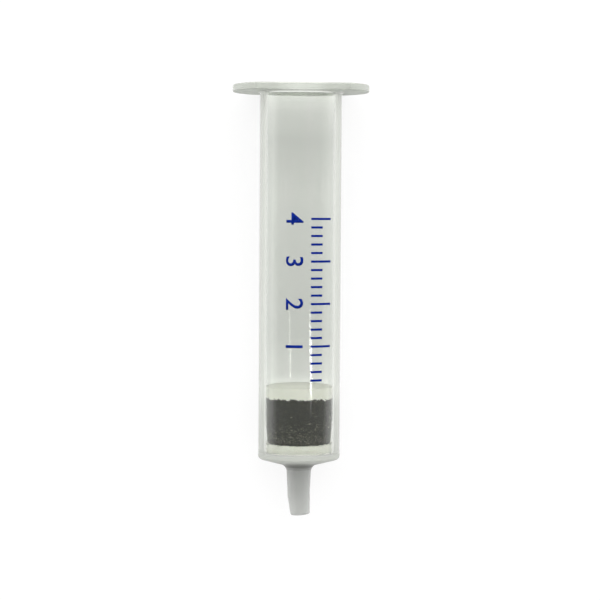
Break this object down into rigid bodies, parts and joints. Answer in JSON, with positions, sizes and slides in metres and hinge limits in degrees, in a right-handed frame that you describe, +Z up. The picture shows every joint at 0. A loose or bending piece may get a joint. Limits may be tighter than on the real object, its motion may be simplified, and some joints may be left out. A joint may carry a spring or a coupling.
{
  "type": "spe cartridge",
  "caption": "Translucent solid phase extraction tube with a flat-sided flange at its open mouth and a slip tip, holding a dark sorbent bed between porous discs.",
  "frame": {"origin": "on the floor, under the middle of the lying cartridge", "axes": "+Y toward the open mouth, -Y toward the tip, +Z up out of the printed side, +X toward the side that the tip leans to"},
  "size_m": [0.0252, 0.0803, 0.0184],
  "materials": {
    "polypropylene": "translucent, natural, smooth moulded",
    "porous_disc": "fine-pored sintered polyethylene",
    "carbon": "fine dark granules",
    "ink": "printed"
  },
  "bodies": {
    "root": {"barrel": "polypropylene", "lower_frit": "porous_disc", "sorbent_bed": "carbon", "upper_frit": "porous_disc", "volume_scale": "ink"}
  },
  "joints": []
}
